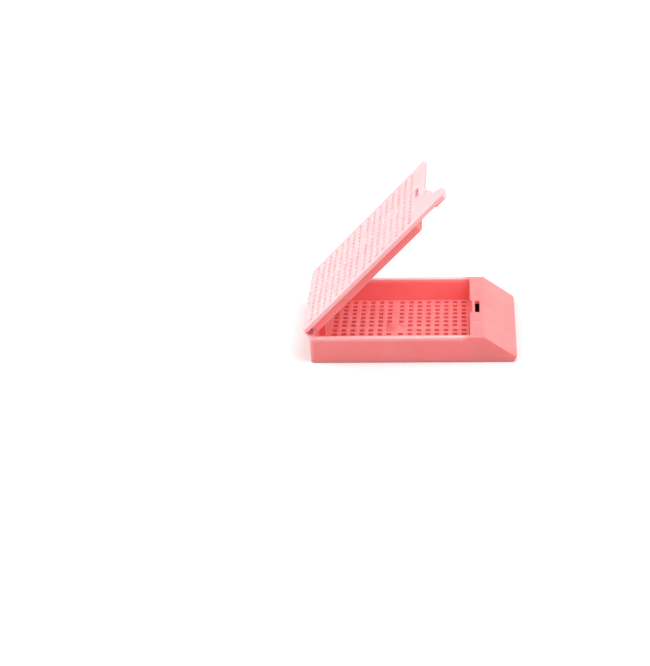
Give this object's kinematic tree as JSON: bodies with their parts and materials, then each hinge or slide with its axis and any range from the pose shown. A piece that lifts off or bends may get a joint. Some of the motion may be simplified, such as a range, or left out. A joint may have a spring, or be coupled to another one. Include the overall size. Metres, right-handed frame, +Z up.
{
  "type": "tissue cassette",
  "caption": "Histology tissue cassette: a perforated tray with a slanted writing face and a perforated latching lid that swings on a living hinge, standing half open.",
  "frame": {"origin": "on the underside, at the middle of the tray's footprint", "axes": "+X from the hinge to the writing face, +Z up, so that the lid's finger tab is on the -Y side"},
  "size_m": [0.0418, 0.0286, 0.0352],
  "materials": {
    "rose_acetal": "satin moulded acetal"
  },
  "bodies": {
    "tray": {"base": "rose_acetal", "living_hinge": "rose_acetal"},
    "lid": {"lid": "rose_acetal"}
  },
  "joints": [
    {"name": "lid_hinge", "type": "hinge", "parent": "tray", "child": "lid", "pos_m": [-0.02132, 0, 0.00535], "axis": [0, -1, 0], "range_deg": [-46, 134]}
  ]
}
